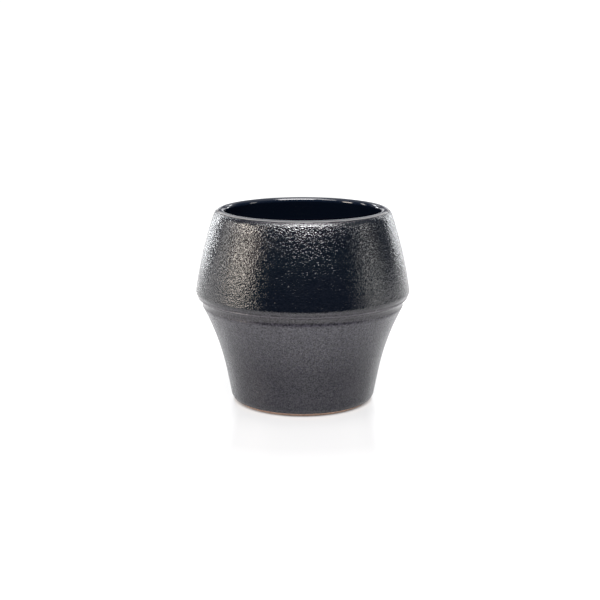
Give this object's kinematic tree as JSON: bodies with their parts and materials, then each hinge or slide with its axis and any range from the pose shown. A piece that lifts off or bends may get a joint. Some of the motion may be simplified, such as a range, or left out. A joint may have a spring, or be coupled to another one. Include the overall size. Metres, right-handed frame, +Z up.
{
  "type": "candle jar",
  "caption": "Empty black glazed ceramic candle jar with a shouldered, orange-peel textured wall, a stepped ledge under its widest line, and a bare terracotta foot",
  "frame": {"origin": "on the jar's axis, in the plane of the foot it stands on", "axes": "+Z up through the mouth, which is the jar's own turning axis; X and Y are free, because the jar is the same all round"},
  "size_m": [0.1, 0.1, 0.0905],
  "materials": {
    "terracotta": "bare, unglazed",
    "textured_black_glaze": "semi-gloss, orange-peel texture",
    "gloss_black_glaze": "gloss"
  },
  "bodies": {
    "root": {"clay_body": "terracotta", "outer_glaze": "textured_black_glaze", "inner_glaze": "gloss_black_glaze"}
  },
  "joints": []
}
